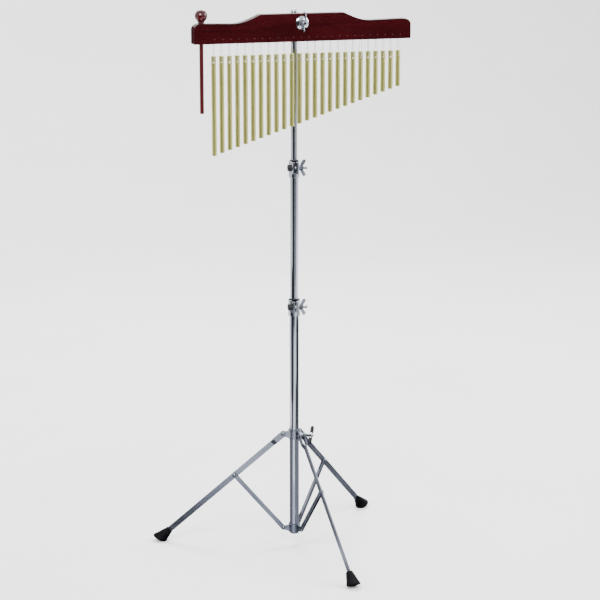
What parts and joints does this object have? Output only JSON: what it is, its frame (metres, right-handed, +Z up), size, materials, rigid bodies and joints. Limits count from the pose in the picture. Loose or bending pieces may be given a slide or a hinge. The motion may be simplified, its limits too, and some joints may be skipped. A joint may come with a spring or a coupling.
{
  "type": "bar chimes on a tripod stand",
  "caption": "Row of graduated metal bar chimes hung from a lacquered board on a telescopic folding tripod stand, with a ball-headed beater.",
  "frame": {"origin": "on the floor, in the middle of the whole object's footprint box", "axes": "+X along the board towards the shortest bar, -Y the way the board faces, +Z up the pole"},
  "size_m": [0.502, 0.4804, 1.1015],
  "materials": {
    "lacquer": "dark mahogany high-gloss lacquer",
    "red_lacquer": "turned hardwood in red-brown gloss lacquer",
    "gold": "pale champagne-gold anodised, polished",
    "chrome": "bright nickel-chrome plate",
    "zinc": "satin grey plated steel",
    "rubber": "matt black rubber",
    "black_plastic": "matt black moulded plastic"
  },
  "bodies": {
    "base": {"base_tube": "chrome", "base_collar": "zinc", "base_end_cap": "black_plastic", "lower_clamp": "zinc", "lower_clamp_bolt": "chrome", "lower_clamp_bush": "black_plastic"},
    "lower_wing": {"lower_clamp_wing_nut": "chrome"},
    "middle": {"middle_tube": "chrome", "upper_clamp": "zinc", "upper_clamp_bolt": "chrome", "upper_clamp_bush": "black_plastic"},
    "upper_wing": {"upper_clamp_wing_nut": "chrome"},
    "top": {"top_tube": "chrome", "top_tube_cap": "black_plastic"},
    "eye_bolt": {"mantle_eye_bolt": "chrome"},
    "board": {"mantle": "lacquer", "mantle_back_block": "lacquer", "mantle_washer": "chrome", "mantle_block_screw": "zinc"},
    "board_wing": {"mantle_wing_nut": "chrome"},
    "beater": {"beater_rod": "red_lacquer", "beater_ball": "red_lacquer"},
    "chime_01": {"chime_01": "gold"},
    "chime_02": {"chime_02": "gold"},
    "chime_03": {"chime_03": "gold"},
    "chime_04": {"chime_04": "gold"},
    "chime_05": {"chime_05": "gold"},
    "chime_06": {"chime_06": "gold"},
    "chime_07": {"chime_07": "gold"},
    "chime_08": {"chime_08": "gold"},
    "chime_09": {"chime_09": "gold"},
    "chime_10": {"chime_10": "gold"},
    "chime_11": {"chime_11": "gold"},
    "chime_12": {"chime_12": "gold"},
    "chime_13": {"chime_13": "gold"},
    "chime_14": {"chime_14": "gold"},
    "chime_15": {"chime_15": "gold"},
    "chime_16": {"chime_16": "gold"},
    "chime_17": {"chime_17": "gold"},
    "chime_18": {"chime_18": "gold"},
    "chime_19": {"chime_19": "gold"},
    "chime_20": {"chime_20": "gold"},
    "chime_21": {"chime_21": "gold"},
    "chime_22": {"chime_22": "gold"},
    "chime_23": {"chime_23": "gold"},
    "chime_24": {"chime_24": "gold"},
    "chime_25": {"chime_25": "gold"},
    "hub": {"leg_hub": "zinc"},
    "hub_wing": {"hub_wing_bolt": "chrome", "hub_wing_tip_upper": "black_plastic", "hub_wing_tip_lower": "black_plastic"},
    "leg_front": {"leg_front": "zinc", "foot_front": "rubber"},
    "leg_right": {"leg_right": "zinc", "foot_right": "rubber"},
    "leg_left": {"leg_left": "zinc", "foot_left": "rubber"},
    "brace_front": {"brace_front": "zinc"},
    "brace_right": {"brace_right": "zinc"},
    "brace_left": {"brace_left": "zinc"}
  },
  "joints": [
    {"name": "middle_slide", "type": "slide", "parent": "base", "child": "middle", "axis": [0, 0, 1], "range_m": [-0.235, 0.14]},
    {"name": "top_slide", "type": "slide", "parent": "middle", "child": "top", "axis": [0, 0, 1], "range_m": [-0.19, 0.12]},
    {"name": "board_swivel", "type": "hinge", "parent": "top", "child": "eye_bolt", "pos_m": [0.01859, 0.04966, 1.072], "axis": [0, 0, 1], "range_deg": [-180, 180]},
    {"name": "board_tilt", "type": "hinge", "parent": "eye_bolt", "child": "board", "pos_m": [0.01859, 0.01366, 1.072], "axis": [0, -1, 0], "range_deg": [-5, 5]},
    {"name": "board_wing_turn", "type": "hinge", "parent": "eye_bolt", "child": "board_wing", "pos_m": [0.01859, -0.00134, 1.072], "axis": [0, -1, 0], "continuous": true},
    {"name": "lower_wing_turn", "type": "hinge", "parent": "base", "child": "lower_wing", "pos_m": [0.01485, 0.03205, 0.505], "axis": [0.9781, -0.2079, 0], "continuous": true},
    {"name": "upper_wing_turn", "type": "hinge", "parent": "middle", "child": "upper_wing", "pos_m": [0.01518, 0.03362, 0.786], "axis": [0.9781, -0.2079, 0], "continuous": true},
    {"name": "beater_lift", "type": "slide", "parent": "board", "child": "beater", "axis": [0, 0, 1], "range_m": [0, 0.18]},
    {"name": "chime_01_swing", "type": "hinge", "parent": "board", "child": "chime_01", "pos_m": [-0.15711, 0.01366, 1.036], "axis": [1, 0, 0], "range_deg": [-35, 35]},
    {"name": "chime_02_swing", "type": "hinge", "parent": "board", "child": "chime_02", "pos_m": [-0.14126, 0.01366, 1.036], "axis": [1, 0, 0], "range_deg": [-35, 35]},
    {"name": "chime_03_swing", "type": "hinge", "parent": "board", "child": "chime_03", "pos_m": [-0.12541, 0.01366, 1.036], "axis": [1, 0, 0], "range_deg": [-35, 35]},
    {"name": "chime_04_swing", "type": "hinge", "parent": "board", "child": "chime_04", "pos_m": [-0.10956, 0.01366, 1.036], "axis": [1, 0, 0], "range_deg": [-35, 35]},
    {"name": "chime_05_swing", "type": "hinge", "parent": "board", "child": "chime_05", "pos_m": [-0.09371, 0.01366, 1.036], "axis": [1, 0, 0], "range_deg": [-35, 35]},
    {"name": "chime_06_swing", "type": "hinge", "parent": "board", "child": "chime_06", "pos_m": [-0.07786, 0.01366, 1.036], "axis": [1, 0, 0], "range_deg": [-35, 35]},
    {"name": "chime_07_swing", "type": "hinge", "parent": "board", "child": "chime_07", "pos_m": [-0.06201, 0.01366, 1.036], "axis": [1, 0, 0], "range_deg": [-35, 35]},
    {"name": "chime_08_swing", "type": "hinge", "parent": "board", "child": "chime_08", "pos_m": [-0.04616, 0.01366, 1.036], "axis": [1, 0, 0], "range_deg": [-35, 35]},
    {"name": "chime_09_swing", "type": "hinge", "parent": "board", "child": "chime_09", "pos_m": [-0.03031, 0.01366, 1.036], "axis": [1, 0, 0], "range_deg": [-35, 35]},
    {"name": "chime_10_swing", "type": "hinge", "parent": "board", "child": "chime_10", "pos_m": [-0.01446, 0.01366, 1.036], "axis": [1, 0, 0], "range_deg": [-35, 35]},
    {"name": "chime_11_swing", "type": "hinge", "parent": "board", "child": "chime_11", "pos_m": [0.00139, 0.01366, 1.036], "axis": [1, 0, 0], "range_deg": [-35, 8]},
    {"name": "chime_12_swing", "type": "hinge", "parent": "board", "child": "chime_12", "pos_m": [0.01724, 0.01366, 1.036], "axis": [1, 0, 0], "range_deg": [-35, 8]},
    {"name": "chime_13_swing", "type": "hinge", "parent": "board", "child": "chime_13", "pos_m": [0.03309, 0.01366, 1.036], "axis": [1, 0, 0], "range_deg": [-35, 8]},
    {"name": "chime_14_swing", "type": "hinge", "parent": "board", "child": "chime_14", "pos_m": [0.04894, 0.01366, 1.036], "axis": [1, 0, 0], "range_deg": [-35, 35]},
    {"name": "chime_15_swing", "type": "hinge", "parent": "board", "child": "chime_15", "pos_m": [0.06479, 0.01366, 1.036], "axis": [1, 0, 0], "range_deg": [-35, 35]},
    {"name": "chime_16_swing", "type": "hinge", "parent": "board", "child": "chime_16", "pos_m": [0.08064, 0.01366, 1.036], "axis": [1, 0, 0], "range_deg": [-35, 35]},
    {"name": "chime_17_swing", "type": "hinge", "parent": "board", "child": "chime_17", "pos_m": [0.09649, 0.01366, 1.036], "axis": [1, 0, 0], "range_deg": [-35, 35]},
    {"name": "chime_18_swing", "type": "hinge", "parent": "board", "child": "chime_18", "pos_m": [0.11234, 0.01366, 1.036], "axis": [1, 0, 0], "range_deg": [-35, 35]},
    {"name": "chime_19_swing", "type": "hinge", "parent": "board", "child": "chime_19", "pos_m": [0.12819, 0.01366, 1.036], "axis": [1, 0, 0], "range_deg": [-35, 35]},
    {"name": "chime_20_swing", "type": "hinge", "parent": "board", "child": "chime_20", "pos_m": [0.14404, 0.01366, 1.036], "axis": [1, 0, 0], "range_deg": [-35, 35]},
    {"name": "chime_21_swing", "type": "hinge", "parent": "board", "child": "chime_21", "pos_m": [0.15989, 0.01366, 1.036], "axis": [1, 0, 0], "range_deg": [-35, 35]},
    {"name": "chime_22_swing", "type": "hinge", "parent": "board", "child": "chime_22", "pos_m": [0.17574, 0.01366, 1.036], "axis": [1, 0, 0], "range_deg": [-35, 35]},
    {"name": "chime_23_swing", "type": "hinge", "parent": "board", "child": "chime_23", "pos_m": [0.19159, 0.01366, 1.036], "axis": [1, 0, 0], "range_deg": [-35, 35]},
    {"name": "chime_24_swing", "type": "hinge", "parent": "board", "child": "chime_24", "pos_m": [0.20744, 0.01366, 1.036], "axis": [1, 0, 0], "range_deg": [-35, 35]},
    {"name": "chime_25_swing", "type": "hinge", "parent": "board", "child": "chime_25", "pos_m": [0.22329, 0.01366, 1.036], "axis": [1, 0, 0], "range_deg": [-35, 35]},
    {"name": "hub_slide", "type": "slide", "parent": "base", "child": "hub", "axis": [0, 0, 1], "range_m": [0, 0.0832]},
    {"name": "hub_wing_turn", "type": "hinge", "parent": "hub", "child": "hub_wing", "pos_m": [0.04157, 0.03037, 0.2365], "axis": [0.766, -0.6428, 0], "continuous": true},
    {"name": "leg_front_fold", "type": "hinge", "parent": "hub", "child": "leg_front", "pos_m": [0.02592, 0.02807, 0.2365], "axis": [0.9981, 0.061, 0], "range_deg": [0, 44.25]},
    {"name": "brace_front_fold", "type": "hinge", "parent": "leg_front", "child": "brace_front", "pos_m": [0.03206, -0.07239, 0.14652], "axis": [0.9981, 0.061, 0], "range_deg": [-82.89, 0]},
    {"name": "leg_right_fold", "type": "hinge", "parent": "hub", "child": "leg_right", "pos_m": [0.03242, 0.06779, 0.2365], "axis": [-0.6074, 0.7944, 0], "range_deg": [0, 44.25]},
    {"name": "brace_right_fold", "type": "hinge", "parent": "leg_right", "child": "brace_right", "pos_m": [0.11237, 0.12891, 0.14652], "axis": [-0.6074, 0.7944, 0], "range_deg": [-82.89, 0]},
    {"name": "leg_left_fold", "type": "hinge", "parent": "hub", "child": "leg_left", "pos_m": [-0.00391, 0.05336, 0.2365], "axis": [-0.4163, -0.9092, 0], "range_deg": [0, 44.25]},
    {"name": "brace_left_fold", "type": "hinge", "parent": "leg_left", "child": "brace_left", "pos_m": [-0.09542, 0.09526, 0.14652], "axis": [-0.4163, -0.9092, 0], "range_deg": [-82.89, 0]}
  ],
  "couplings": [
    {"joint": "leg_front_fold", "follows": "hub_slide", "rad_per_m": 9.2721},
    {"joint": "brace_front_fold", "follows": "hub_slide", "rad_per_m": -17.377},
    {"joint": "leg_right_fold", "follows": "hub_slide", "rad_per_m": 9.2721},
    {"joint": "brace_right_fold", "follows": "hub_slide", "rad_per_m": -17.377},
    {"joint": "leg_left_fold", "follows": "hub_slide", "rad_per_m": 9.2721},
    {"joint": "brace_left_fold", "follows": "hub_slide", "rad_per_m": -17.377}
  ]
}
